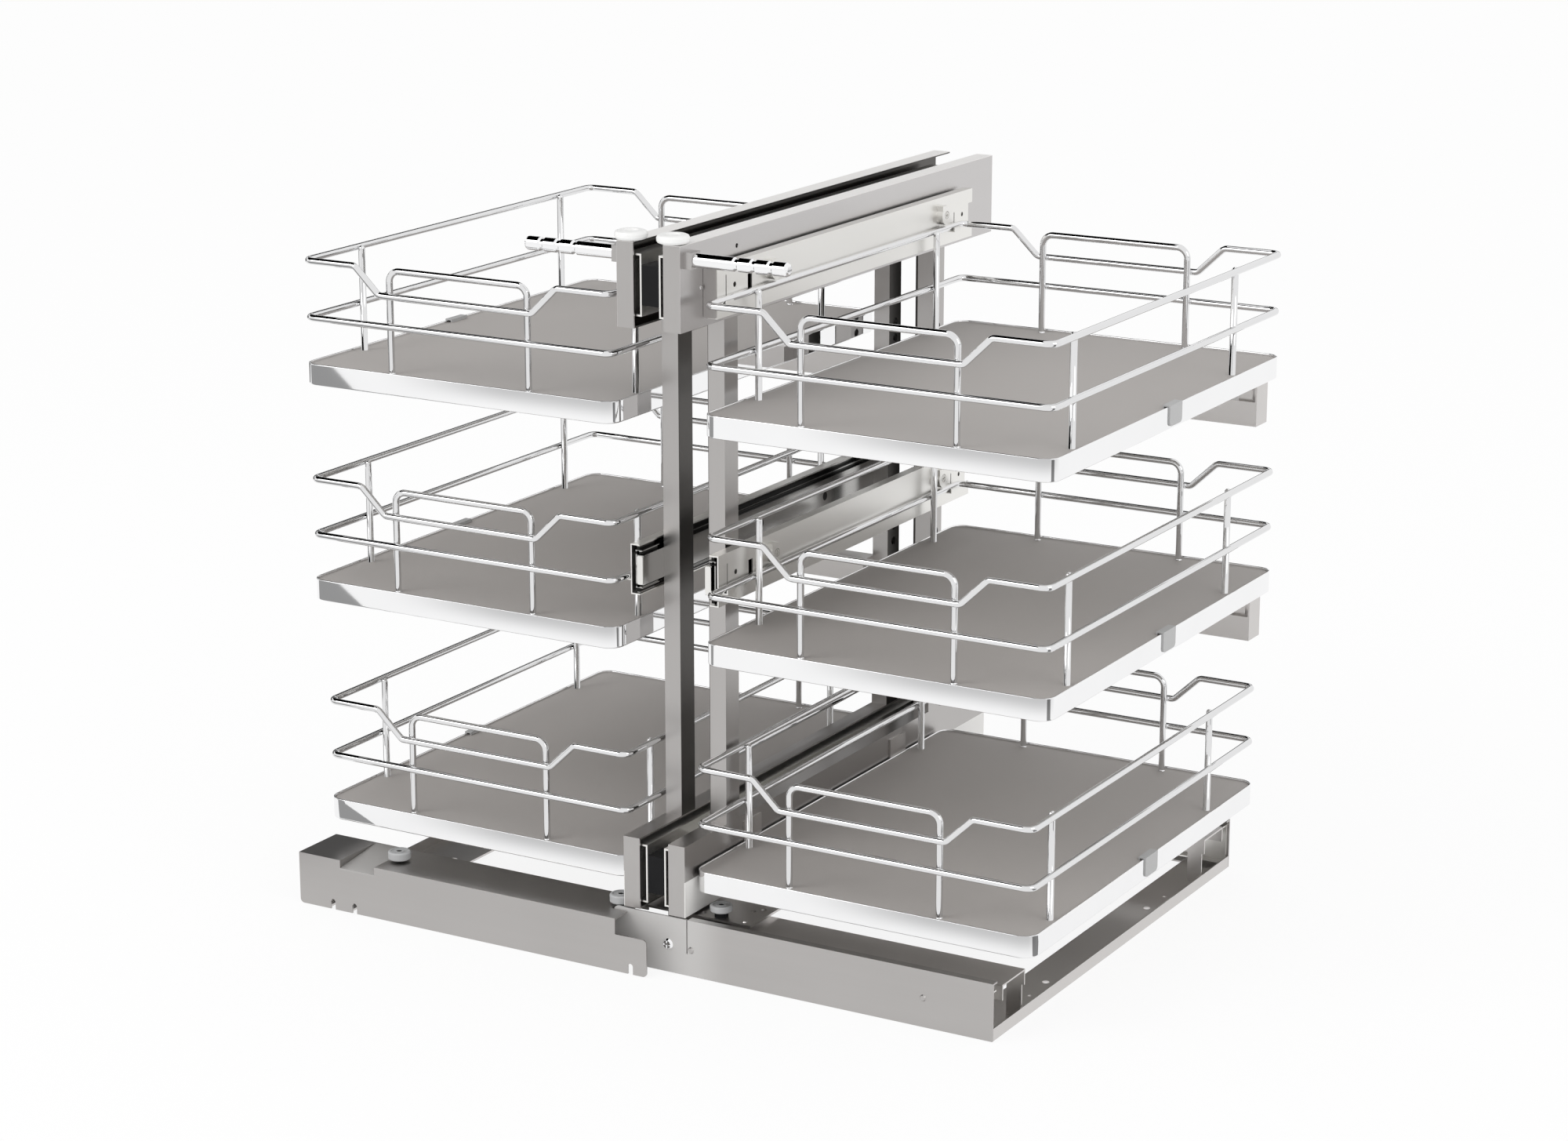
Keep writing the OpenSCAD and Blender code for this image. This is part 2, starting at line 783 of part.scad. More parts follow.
// Basket: pan-shaped tray with ribs below, and a clip over the middle of its outer rim
module tray(side, z, shift) {
  len = rim_len - 2 * rim_t - 0.2;
  depth = rim_depth - 2 * rim_t - 0.2;
  r = tray_r - rim_t;
  under = rim_h - floor_drop - floor_t;
  edge = rim_len / 2;
  half = clip_w / 2;
  clip_top = rim_h + clip_t;
  color(taupe) placed() on_side(side) translate([basket_x - shift, basket_y, z]) {
    translate([0, 0, under]) linear_extrude(floor_t) tray_plan(len, depth, r);
    translate([0, 0, rim_t]) linear_extrude(under - rim_t + 0.5) difference() {
      tray_plan(len, depth, r);
      tray_plan(len - 6, depth - 6, r - 3);
    }
    for (i = [-2 : 2]) {
      translate([i * len / 6, 0, 0])
        block([-rib_t / 2, 2 - depth / 2, under - rib_h], [rib_t / 2, depth / 2 - 2, under + 0.5]);
    }
    along_x(edge, clip_t) difference() {
      translate([-half, clip_low]) square([clip_w, clip_top - clip_low]);
      corner_cut([-half, clip_low], [1, 1], clip_r);
      corner_cut([half, clip_low], [-1, 1], clip_r);
    }
    block([edge - clip_hook, -half, rim_h], [edge + clip_t, half, clip_top]);
    block([edge - clip_hook, -half, under + 1], [edge - clip_hook + clip_t, half, clip_top]);
  }
}

module rim(side, z, shift) {
  color(chrome) placed() on_side(side) translate([basket_x - shift, basket_y, z]) {
    linear_extrude(rim_h) difference() {
      tray_plan(rim_len, rim_depth, tray_r);
      tray_plan(rim_len - 2 * rim_t, rim_depth - 2 * rim_t, tray_r - rim_t);
    }
    linear_extrude(rim_t) difference() {
      tray_plan(rim_len - 1, rim_depth - 1, tray_r - 0.5);
      tray_plan(rim_len - 16, rim_depth - 16, tray_r - 8);
    }
  }
}

module wires(side, z, shift) {
  hx = basket_len / 2;
  hy = basket_depth / 2;
  top = basket_h;
  low = basket_h - dip_drop;
  a = dip_w / 2;
  b = dip_w / 2 + dip_slope;
  stand = rim_h - floor_drop;
  loop_top = basket_h - 2;
  loop_r = 10;
  color(chrome) placed() on_side(side) translate([basket_x - shift, basket_y, z]) {
    wire_ring([
      [-hx, -hy, top], [-b, -hy, top], [-a, -hy, low], [a, -hy, low], [b, -hy, top], [hx, -hy, top],
      [hx, hy, top], [b, hy, top], [a, hy, low], [-a, hy, low], [-b, hy, top], [-hx, hy, top]
    ], bend_r, slope_r, wire_d);
    wire_ring([
      [-hx, -hy, middle_wire_h], [hx, -hy, middle_wire_h],
      [hx, hy, middle_wire_h], [-hx, hy, middle_wire_h]
    ], bend_r, slope_r, wire_d);
    // handle loops that stand in the tray at the front and at the back
    for (y = [post_in - hy, hy - post_in]) {
      p = [-loop_w / 2, y, loop_top];
      q = [loop_w / 2, y, loop_top];
      wire([p.x, y, stand], [p.x, y, loop_top - loop_r], wire_d);
      bend(p, [0, 0, 1], [1, 0, 0], loop_r, wire_d);
      wire([p.x + loop_r, y, loop_top], [q.x - loop_r, y, loop_top], wire_d);
      bend(q, [1, 0, 0], [0, 0, -1], loop_r, wire_d);
      wire([q.x, y, stand], [q.x, y, loop_top - loop_r], wire_d);
    }
    // uprights along both sides; all baskets are alike, with those of their right side further forward
    for (y = [side_mid - side_pitch / 2, side_mid + side_pitch / 2]) {
      translate([post_in - hx, side == "left" ? y - stagger : y, stand])
        cylinder(d = wire_d, h = top + 2 - stand);
      translate([hx - post_in, side == "left" ? y : y - stagger, stand])
        cylinder(d = wire_d, h = top + 2 - stand);
    }
  }
}

// Snail-shaped knob whose axis lies along X, with a cross-slotted screw head in its face
module knob() {
  r = knob_d / 2;
  screw = knob_d * 0.42;
  rotate([0, 90, 0]) difference() {
    union() {
      cylinder(r = r, h = knob_t);
      translate([-r, -0.9 * r, 0]) cube([0.5 * r, 0.9 * r, knob_t]);
    }
    translate([0, 0, knob_t - 1]) difference() {
      cylinder(d = screw, h = 2);
      translate([0, 0, -1]) cylinder(d = screw - 1.4, h = 4);
    }
    for (s = [[screw * 0.6, screw * 0.16], [screw * 0.16, screw * 0.6]]) {
      translate([0, 0, knob_t]) cube([s[0], s[1], 3], center = true);
    }
  }
}

// Outer plate of a basket slide, which carries one wire of its basket
module basket_slide(side, z) {
  hook_z = z - wire_drop - wire_r - 0.3;
  hook_end = slide_face + wire_d + 0.6 + slide_sheet;
  deep = 4 * slide_sheet;
  color(light) placed() on_side(side) {
    difference() {
      along_y(basket_slide_y, basket_slide_len) translate([slide_face, z]) mirror([1, 0])
        slide_outer_section(basket_slide_h, basket_slide_t, slide_sheet);
      translate([slide_face - deep / 2, basket_slide_y, z]) {
        for (p = slide_slits) {
          block([0, p[0], p[1]], [deep, p[0] + slide_sheet, p[2]]);
        }
        for (p = slide_holes) {
          translate([0, p[0], p[1]]) rotate([0, 90, 0]) cylinder(d = p[2], h = deep);
        }
        for (p = [slide_window, slide_notch]) {
          block([0, p[0][0], p[0][1]], [deep, p[1][0], p[1][1]]);
        }
      }
    }
    for (y = hook_y) {
      translate([0, basket_slide_y + y, 0]) {
        block([slide_face - 1, -hook_half, hook_z - slide_sheet], [hook_end, hook_half, hook_z]);
        block(
          [hook_end - slide_sheet, -hook_half, hook_z - slide_sheet],
          [hook_end, hook_half, hook_z + wire_r]
        );
      }
    }
    for (y = knob_y) {
      translate([slide_face - 0.5, basket_slide_y + y, z + knob_rise]) knob();
    }
  }
}

module basket_slide_middle(side, z) {
  color(light) placed() on_side(side) along_y(basket_slide_y + 2, basket_slide_len - 4)
    translate([slide_face, z]) mirror([1, 0])
      slide_middle_section(basket_slide_h, basket_slide_t, slide_sheet);
}

right_front_rail();
right_rear_rail();
rail_top_sheets();
left_front_cover();
left_rear_cover();
floor_strips();
cross_slide_outers();
base_fasteners();
roller_studs();
stop_roller(0);  // inner_stop_roller
stop_roller(1);  // outer_stop_roller
cross_slide_middles();
cross_slide_inners();
carriage_plates();
centre_column();
centre_rails();
spacer_blocks();
guide_roller();
frame_middles("left");  // left_frame_middles
frame_middles("right");  // right_frame_middles
top_channel("left");  // left_top_channel
bottom_channel("left");  // left_bottom_channel
posts("left");  // left_posts
slide_inners("left");  // left_slide_inners
handle("left");  // left_handle
support_arms("left");  // left_support_arms
top_roller("left");  // left_top_roller
top_channel("right");  // right_top_channel
bottom_channel("right");  // right_bottom_channel
posts("right");  // right_posts
slide_inners("right");  // right_slide_inners
handle("right");  // right_handle
support_arms("right");  // right_support_arms
top_roller("right");  // right_top_roller
tray("left", bottom_rim_z, fixed_shift);  // left_bottom_tray
rim("left", bottom_rim_z, fixed_shift);  // left_bottom_rim
wires("left", bottom_rim_z, fixed_shift);  // left_bottom_wires
tray("right", bottom_rim_z, fixed_shift);  // right_bottom_tray
rim("right", bottom_rim_z, fixed_shift);  // right_bottom_rim
wires("right", bottom_rim_z, fixed_shift);  // right_bottom_wires
tray("left", top_rim_z, 0);  // left_top_tray
rim("left", top_rim_z, 0);  // left_top_rim
wires("left", top_rim_z, 0);  // left_top_wires
basket_slide("left", top_basket_slide_z);  // left_top_slide
basket_slide_middle("left", top_basket_slide_z);  // left_top_middle
tray("right", top_rim_z, 0);  // right_top_tray
rim("right", top_rim_z, 0);  // right_top_rim
wires("right", top_rim_z, 0);  // right_top_wires
basket_slide("right", top_basket_slide_z);  // right_top_slide
basket_slide_middle("right", top_basket_slide_z);  // right_top_middle
tray("left", middle_rim_z, 0);  // left_middle_tray
rim("left", middle_rim_z, 0);  // left_middle_rim
wires("left", middle_rim_z, 0);  // left_middle_wires
basket_slide("left", middle_basket_slide_z);  // left_middle_slide
basket_slide_middle("left", middle_basket_slide_z);  // left_middle_middle
tray("right", middle_rim_z, 0);  // right_middle_tray
rim("right", middle_rim_z, 0);  // right_middle_rim
wires("right", middle_rim_z, 0);  // right_middle_wires
basket_slide("right", middle_basket_slide_z);  // right_middle_slide
basket_slide_middle("right", middle_basket_slide_z);  // right_middle_middle
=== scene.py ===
import math

import bpy
import numpy as np
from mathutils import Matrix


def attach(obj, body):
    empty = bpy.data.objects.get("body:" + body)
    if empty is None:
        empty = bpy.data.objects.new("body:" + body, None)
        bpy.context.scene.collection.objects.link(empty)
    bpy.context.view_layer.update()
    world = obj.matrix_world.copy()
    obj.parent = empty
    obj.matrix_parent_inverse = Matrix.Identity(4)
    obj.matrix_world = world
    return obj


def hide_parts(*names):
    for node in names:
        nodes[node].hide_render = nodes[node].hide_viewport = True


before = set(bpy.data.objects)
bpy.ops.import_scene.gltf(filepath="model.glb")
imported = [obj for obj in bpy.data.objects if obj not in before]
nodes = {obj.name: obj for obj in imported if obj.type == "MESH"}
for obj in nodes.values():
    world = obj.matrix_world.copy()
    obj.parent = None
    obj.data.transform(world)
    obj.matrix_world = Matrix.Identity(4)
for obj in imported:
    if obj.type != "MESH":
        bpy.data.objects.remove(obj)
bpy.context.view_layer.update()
print("frame loaded:", len(nodes), "nodes")

mm = 0.001
midDepth = 271.5  # millimetres from the channel fronts to the middle of the unit
sideTurns = {"left": -1, "right": 1}  # pieces are made for the right half and mirrored for the left


class Value:
    # one output socket; maths on it adds Math nodes
    def __init__(self, finish, socket):
        self.finish = finish
        self.socket = socket

    def maths(self, operation, *others):
        inputs = {0: self}
        inputs.update({i + 1: other for i, other in enumerate(others)})
        return self.finish.node("ShaderNodeMath", {"operation": operation}, inputs)

    def flipped(self, operation, other):
        return self.finish.node("ShaderNodeMath", {"operation": operation}, {0: other, 1: self})

    def __add__(self, other):
        return self.maths("ADD", other)

    __radd__ = __add__

    def __sub__(self, other):
        return self.maths("SUBTRACT", other)

    def __rsub__(self, other):
        return self.flipped("SUBTRACT", other)

    def __mul__(self, other):
        return self.maths("MULTIPLY", other)

    __rmul__ = __mul__

    def __truediv__(self, other):
        return self.maths("DIVIDE", other)

    def __rtruediv__(self, other):
        return self.flipped("DIVIDE", other)

    def __gt__(self, other):
        return self.maths("GREATER_THAN", other)

    def __lt__(self, other):
        return self.maths("LESS_THAN", other)

    def __abs__(self):
        return self.maths("ABSOLUTE")


class Finish:
    # a material, or the world, whose nodes are added one call at a time
    def __init__(self, name, owner=None, shader="Principled BSDF", **constants):
        self.material = owner or bpy.data.materials.new(name)
        self.material.use_nodes = True
        self.tree = self.material.node_tree
        self.shader = self.tree.nodes[shader]
        for socket, value in constants.items():
            self.shader.inputs[socket.replace("_", " ")].default_value = value

    def node(self, kind, settings=None, inputs=None, output=0):
        made = self.tree.nodes.new(kind)
        for key, value in (settings or {}).items():
            setattr(made, key, value)
        for key, value in (inputs or {}).items():
            if isinstance(value, Value):
                self.tree.links.new(value.socket, made.inputs[key])
            else:
                made.inputs[key].default_value = value
        return Value(self, made.outputs[output])

    def feed(self, socket, value):
        self.tree.links.new(value.socket, self.shader.inputs[socket])

    def along(self, axis):
        # distance from the origin along one axis, in metres
        spot = self.node("ShaderNodeTexCoord", output="Object")
        return self.node("ShaderNodeSeparateXYZ", None, {"Vector": spot}, axis)

    def mixed(self, amount, first, second):
        # a Mix node has its two colours at inputs 6 and 7, and the mixed colour at output 2
        return self.node("ShaderNodeMix", {"data_type": "RGBA"}, {"Factor": amount, 6: first, 7: second}, 2)

    def ramp(self, value, start, end):
        # smooth step from 0 at the start to 1 at the end
        return self.node(
            "ShaderNodeMapRange", {"interpolation_type": "SMOOTHSTEP"},
            {"Value": value, "From Min": start, "From Max": end})

    def noise(self, scale, detail=2.0, rough=0.5, stretch=(1, 1, 1)):
        spot = self.node("ShaderNodeTexCoord", output="Object")
        place = self.node("ShaderNodeMapping", {"vector_type": "POINT"}, {"Vector": spot, "Scale": stretch})
        return self.node(
            "ShaderNodeTexNoise", None,
            {"Vector": place, "Scale": scale, "Detail": detail, "Roughness": rough}, "Fac")

    def blend(self, amount, dark, pale):
        return self.mixed(amount, (*dark, 1), (*pale, 1))

    def seen(self):
        # 1 for rays that see the backdrop itself: from the camera, a mirror or glass
        camera, mirror, glass = (
            self.node("ShaderNodeLightPath", output=f"Is {kind} Ray")
            for kind in ("Camera", "Glossy", "Transmission"))
        return camera.maths("MAXIMUM", mirror.maths("MAXIMUM", glass))

    def bump(self, height, strength, distance):
        self.feed("Normal", self.node(
            "ShaderNodeBump", None, {"Height": height, "Strength": strength, "Distance": distance}))


# sizes in millimetres, used by the finishes and by the baskets
basketSizes = {
    "wireX": 47.3, "length": 318.0, "front": 14.0, "depth": 458.0, "fixedShift": 10.8,
    "wire": 3.0, "sides": 14, "height": 111.0, "middleWire": 60.0, "bend": 8.0, "bendSteps": 9,
    "dip": 24.0, "dipWidth": 160.0, "slope": 25.2, "slopeBend": 7.5,
    "loopWidth": 144.0, "loopHeight": 109.0, "loopBend": 10.0, "loopSteps": 11,
    "inset": 5.4, "uprights": (-153.0, 169.0), "stagger": 28.0, "domeRise": 2.0, "domeSteps": 7,
    "rimHeight": 19.5, "rimWall": 1.5, "rimOver": 3.7, "rimLip": 8.0, "floorDrop": 2.0,
    "rimBends": (1.2, 0.74, 0.74, 0.6, 0.7, 0.7), "rimBendSteps": 5, "rimCorner": 14.0, "rimCornerSteps": 17,
}
tierHeights = {"top": 477.5, "middle": 279.5, "bottom": 74.0}
slideRise = 6.5  # from the wire that hooks on a slide to the middle of the slide
slideHeights = {
    "top": tierHeights["top"] + basketSizes["height"] + slideRise,
    "middle": tierHeights["middle"] + basketSizes["middleWire"] + slideRise,
}


def basketShift(tier):
    # the fixed baskets stand nearer the middle of the unit
    return basketSizes["fixedShift"] if tier == "bottom" else 0


def trayPlaces(tier):
    # height of a tray's top sheet, and distance of its outer band from the unit's middle, in metres
    s = basketSizes
    floorTop = tierHeights[tier] + s["rimHeight"] - s["floorDrop"]
    edge = s["wireX"] + s["length"] + s["rimOver"] - s["rimWall"] / 2 - basketShift(tier)
    return floorTop * mm, edge * mm


def toned(look, factor):
    # the dark and the pale colour of a look, both times the factor
    return [tuple(np.multiply(look[tone], factor)) for tone in ("dark", "pale")]


def rolledMetal(name, look, stretch, tone=1.0, polish=0.0):
    # fine lines left by rolling the sheet, over soft clouds
    made = Finish(name, Metallic=1.0)
    streaks = made.noise(stretch=stretch, **look["streaks"])
    clouds = made.noise(**look["clouds"])
    rough = streaks * look["streakRough"] + clouds * look["cloudRough"] + (look["rough"] - polish)
    made.feed("Roughness", rough)
    made.bump(streaks, *look["bump"])
    share = look["streakShare"]
    return made, made.blend(streaks * share + clouds * (1 - share), *toned(look, tone))


# heights and distances in metres from the part's origin
nickelLook = {
    "dark": (0.42, 0.405, 0.395), "pale": (0.50, 0.485, 0.475), "litCopy": 1.35, "streakShare": 0.5,
    "streaks": {"scale": 60.0, "detail": 4.0, "rough": 0.6}, "clouds": {"scale": 7.0},
    "rough": 0.23, "streakRough": 0.10, "cloudRough": 0.05, "bump": (0.06, 0.0004),
    "innerSide": 0.0150, "paintedInnerShade": (0.10, 0.095, 0.09, 1), "webSide": 0.0302, "webFront": -0.2698,
    "outerSide": 0.0307, "outerPaintedLight": (0.58, 0.565, 0.56, 1),
    "top": 0.6381, "topPaintedLight": (0.78, 0.765, 0.75, 1),
    "lowSide": 0.0305, "lowTop": 0.0847, "lowPaintedLight": (0.88, 0.87, 0.85, 1),
    "coverFar": 0.075, "coverNear": 0.035, "coverPaintedLight": (0.52, 0.51, 0.50, 1),
    "pressed": (-0.322, -0.284), "pressedLow": 0.0397, "pressedPaintedLight": (0.40, 0.39, 0.38, 1),
}


# where each patch of painted light lies, and its colour
# painted light: the tops of the top channels are paler
def paintedLightTop(made):
    return made.along("Z") > nickelLook["top"], nickelLook["topPaintedLight"]


# painted light: the outer sides of the bottom channels are paler low down
def paintedLightLow(made):
    outer = abs(made.along("X")) > nickelLook["lowSide"]
    return outer * (made.along("Z") < nickelLook["lowTop"]), nickelLook["lowPaintedLight"]


# painted light on the rail beside the cover, in place of the dark reflection of the cover's end
def paintedLightByCover(made):
    near = made.ramp(made.along("X"), nickelLook["coverFar"], nickelLook["coverNear"])
    return near, nickelLook["coverPaintedLight"]


# painted light on the pressed stretch of the cover, in place of the dark reflection of the overhead flag
def paintedLightPressed(made):
    start, end = nickelLook["pressed"]
    stretch = (made.along("X") > start) * (made.along("X") < end)
    return stretch * (made.along("Z") > nickelLook["pressedLow"]), nickelLook["pressedPaintedLight"]


def nickelFinish(name, stretch, brightness=1.0, post=False, channel=False, paintedLight=None):
    made, colour = rolledMetal(name, nickelLook, stretch, brightness)
    if post:
        # painted shade darkens the sides of the posts that face each other
        colour = made.mixed(abs(made.along("X")) < nickelLook["innerSide"], colour, nickelLook["paintedInnerShade"])
    if channel:
        # painted light makes the outer sides of the channels paler, and painted shade darkens their inside
        # behind the front plate
        side = abs(made.along("X"))
        colour = made.mixed(side > nickelLook["outerSide"], colour, nickelLook["outerPaintedLight"])
        inside = (side < nickelLook["webSide"]) * (made.along("Y") > nickelLook["webFront"])
        colour = made.mixed(inside, colour, nickelLook["paintedInnerShade"])
    if paintedLight:
        # painted light: one part of the sheet is made non-metallic, with a flat tone in place of the
        # reflection it would show
        paintedPart, shade = paintedLight(made)
        colour = made.mixed(paintedPart, colour, shade)
        made.feed("Metallic", 1 - paintedPart)
    made.feed("Base Color", colour)
    return made.material


zincLook = {
    "dark": (0.79, 0.78, 0.752), "pale": (0.87, 0.86, 0.835), "streakShare": 0.4,
    "streaks": {"scale": 45.0, "detail": 3.0, "rough": 0.55}, "clouds": {"scale": 11.0},
    "rough": 0.27, "streakRough": 0.08, "cloudRough": 0.06, "bump": (0.05, 0.0003),
    "polish": 0.2, "racePaintedShade": 0.5, "crossPaintedShade": 0.45,
}
raceLook = {
    "bands": ((0.0144, 0.0012), (0.0185, 0.0017)), "shade": (0.02, 0.02, 0.019, 1),
    "side": 0.0306, "web": 0.0335,
    "holes": (-0.035, 0.082, 0.182), "holeRadius": 0.004, "holeDrop": 0.003,
}


def raceShadow(made):
    # dark gaps between the ball tracks, at set heights from the middle of a slide, and the holes in its web
    side, depth, height = abs(made.along("X")), made.along("Y"), made.along("Z")
    upper, lower = slideHeights["top"] * mm, slideHeights["middle"] * mm
    offset = abs(height - upper).maths("MINIMUM", abs(height - lower))
    (first, firstHalf), (second, secondHalf) = raceLook["bands"]
    gaps = (abs(offset - first) < firstHalf).maths("MAXIMUM", abs(offset - second) < secondHalf)
    nearest = abs(depth - raceLook["holes"][0])
    for hole in raceLook["holes"][1:]:
        nearest = nearest.maths("MINIMUM", abs(depth - hole))
    drop = height - (lower - raceLook["holeDrop"])
    holes = (nearest * nearest + drop * drop < raceLook["holeRadius"] ** 2) * (side < raceLook["web"])
    return gaps.maths("MAXIMUM", holes) * (side > raceLook["side"])


def zincFinish(name, stretch, tone=1.0, polish=0.0, race=False):
    made, colour = rolledMetal(name, zincLook, stretch, tone, polish)
    if race:
        colour = made.mixed(raceShadow(made), colour, raceLook["shade"])
    made.feed("Base Color", colour)
    return made.material


chromeLook = {
    "dark": (0.87, 0.87, 0.875), "pale": (0.94, 0.94, 0.945), "wirePaintedShade": 0.84,
    "smudges": {"scale": 9.0, "detail": 4.0, "rough": 0.6}, "rough": 0.012, "smudgeRough": 0.025,
    "collarEnd": 0.0392, "rivetStart": 0.025, "satin": (0.46, 0.445, 0.435, 1), "satinRough": 0.28,
    "frontFrom": -0.2490, "frontTo": -0.2585, "rimFrom": 0.05, "rimTo": 0.95,
    "start": 0.38, "repeat": 0.4125, "sideFrom": 0.08, "sideTo": 0.24, "rimPaintedReflection": (0.56, 0.56, 0.565, 1),
}


def chromeFinish(name, tone=1.0, satinPart=None, rimLow=None):
    look = chromeLook
    made = Finish(name, Metallic=1.0)
    smudges = made.noise(**look["smudges"])  # faint handling marks in the polish
    colour = made.blend(smudges, *toned(look, tone))
    rough = smudges * look["smudgeRough"] + look["rough"]
    if satinPart:
        # one part of the piece has the satin finish of the frame
        satin = satinPart(made)
        colour = made.mixed(satin, colour, look["satin"])
        rough = rough + satin * look["satinRough"]
    if rimLow is not None:
        # painted reflection: the front of a tray band greys towards its upper edge and towards its right end
        rise = (made.along("Z") - rimLow) / (basketSizes["rimHeight"] * mm)
        front = made.ramp(made.along("Y"), look["frontFrom"], look["frontTo"])
        along = (made.along("X") + look["start"]).maths("MODULO", look["repeat"])
        across = made.ramp(along, look["sideFrom"], look["sideTo"])
        shade = front * across * made.ramp(rise, look["rimFrom"], look["rimTo"])
        colour = made.mixed(shade, colour, look["rimPaintedReflection"])
    made.feed("Base Color", colour)
    made.feed("Roughness", rough)
    return made.material


def satinCollar(made):
    return abs(made.along("X")) < chromeLook["collarEnd"]


def satinRivets(made):
    return made.along("X") > chromeLook["rivetStart"]


trayLook = {
    "dark": (0.385, 0.364, 0.349), "pale": (0.445, 0.421, 0.404), "gritShare": 0.4, "ior": 1.45,
    "grit": {"scale": 900.0}, "clouds": {"scale": 5.0, "detail": 3.0},
    "rough": 0.56, "gritRough": 0.12, "clipPolish": 0.25, "bump": (0.12, 0.0002),
    "below": (0.85, 0.84, 0.82, 1), "clip": (0.42, 0.42, 0.42, 1), "boardDrop": 0.001, "clipRise": 0.0004,
}


def trayFinish(name, floorTop, edge):
    look = trayLook
    made = Finish(name, IOR=look["ior"])
    grit = made.noise(**look["grit"])  # anti-slip grain of the laminate
    clouds = made.noise(**look["clouds"])
    share = look["gritShare"]
    colour = made.blend(clouds * (1 - share) + grit * share, look["dark"], look["pale"])
    # the board is pale below its top sheet, and the clip over its outer edge is lighter
    height = made.along("Z")
    colour = made.mixed(height < floorTop - look["boardDrop"], colour, look["below"])
    clip = (height > floorTop + look["clipRise"]).maths("MAXIMUM", abs(made.along("X")) > edge)
    made.feed("Base Color", made.mixed(clip, colour, look["clip"]))
    made.feed("Roughness", grit * look["gritRough"] + look["rough"] - clip * look["clipPolish"])
    made.bump(grit, *look["bump"])
    return made.material


plasticLook = {
    "grain": {"scale": 650.0}, "clouds": {"scale": 30.0}, "grainRough": 0.1, "bump": (0.06, 0.0002),
    "ior": 1.5,
    "black": {"dark": (0.006, 0.006, 0.007), "pale": (0.012, 0.012, 0.013), "rough": 0.55, "shine": 0.15},
    "grey": {"dark": (0.42, 0.425, 0.43), "pale": (0.5, 0.505, 0.51), "rough": 0.35, "shine": 0.5},
    "white": {"dark": (0.80, 0.80, 0.79), "pale": (0.88, 0.88, 0.87), "rough": 0.30, "shine": 0.5},
}


def plasticFinish(name, kind):
    look = plasticLook[kind]
    made = Finish(name, IOR=plasticLook["ior"], Specular_IOR_Level=look["shine"])
    grain = made.noise(**plasticLook["grain"])  # texture of the mould
    clouds = made.noise(**plasticLook["clouds"])
    made.feed("Base Color", made.blend(clouds, look["dark"], look["pale"]))
    made.feed("Roughness", grain * plasticLook["grainRough"] + look["rough"])
    made.bump(grain, *plasticLook["bump"])
    return made.material


drawn = 0.02  # scale of the noise along the streaks, against 1 across them
alongWidth, alongDepth, alongHeight = (drawn, 1, 1), (1, drawn, 1), (1, 1, drawn)
# painted light: lit copies of the satin nickel, paler by this factor
bright = nickelLook["litCopy"]
polish = zincLook["polish"]
nickelDeep = nickelFinish("satin nickel, rolled front to back", alongDepth)
nickelTop = nickelFinish("satin nickel with painted light and shade", alongDepth, channel=True, paintedLight=paintedLightTop)
nickelLow = nickelFinish("satin nickel, painted light below", alongDepth, paintedLight=paintedLightLow)
nickelWide = nickelFinish("satin nickel, rolled sideways", alongWidth)
nickelRail = nickelFinish("satin nickel, dull by the cover", alongWidth, paintedLight=paintedLightByCover)
nickelCover = nickelFinish("satin nickel, dull where pressed", alongWidth, paintedLight=paintedLightPressed)
nickelTall = nickelFinish("satin nickel, rolled upright", alongHeight, post=True)
nickelFloor = nickelFinish("satin nickel with painted light, rolled front to back", alongDepth, bright)
nickelSheet = nickelFinish("satin nickel with painted light, rolled sideways", alongWidth, bright)
zincDeep = zincFinish("zinc slide, drawn front to back", alongDepth)
# painted shade: shaded copies of the zinc, darker by these factors, for the members inside the slides
zincRace = zincFinish("polished zinc with painted shade", alongDepth, zincLook["racePaintedShade"], polish, race=True)
zincCross = zincFinish("polished zinc with painted shade, drawn sideways", alongWidth, zincLook["crossPaintedShade"], polish)
zincWide = zincFinish("zinc slide, drawn sideways", alongWidth)
chrome = chromeFinish("polished chrome")
# painted shade: a shaded copy of the chrome, darker by this factor, for the wires
chromeWire = chromeFinish("polished chrome wire with painted shade", chromeLook["wirePaintedShade"])
chromeBar = chromeFinish("polished chrome with satin collar", satinPart=satinCollar)
chromeScrew = chromeFinish("polished chrome with satin rivets", satinPart=satinRivets)
blackMoulded = plasticFinish("black moulded plastic", "black")
greyNylon = plasticFinish("grey nylon", "grey")
whiteNylon = plasticFinish("white nylon", "white")

dressing = (
    (nickelWide, ("right_rear_rail", "left_rear_cover")),
    (nickelRail, ("right_front_rail",)),
    (nickelCover, ("left_front_cover",)),
    (nickelSheet, ("rail_top_sheets", "carriage_plates", "left_support_arms", "right_support_arms")),
    (nickelFloor, ("floor_strips",)),
    (nickelLow, ("left_bottom_channel", "right_bottom_channel")),
    (nickelTop, ("left_top_channel", "right_top_channel")),
    (nickelTall, ("left_posts", "right_posts", "centre_column")),
    (zincWide, ("cross_slide_outers",)),
    (zincCross, ("cross_slide_middles", "cross_slide_inners")),
    (zincDeep, ("centre_rails", "left_frame_middles", "right_frame_middles")),
    (zincRace, ("left_slide_inners", "right_slide_inners")),
    (blackMoulded, ("roller_studs", "spacer_blocks")),
    (greyNylon, ("inner_stop_roller", "outer_stop_roller", "guide_roller")),
    (whiteNylon, ("left_top_roller", "right_top_roller")),
    (chromeBar, ("left_handle", "right_handle")),
    (chromeScrew, ("base_fasteners",)),
)


def dress(name, material):
    slots = nodes[name].data.materials
    slots.clear()
    slots.append(material)


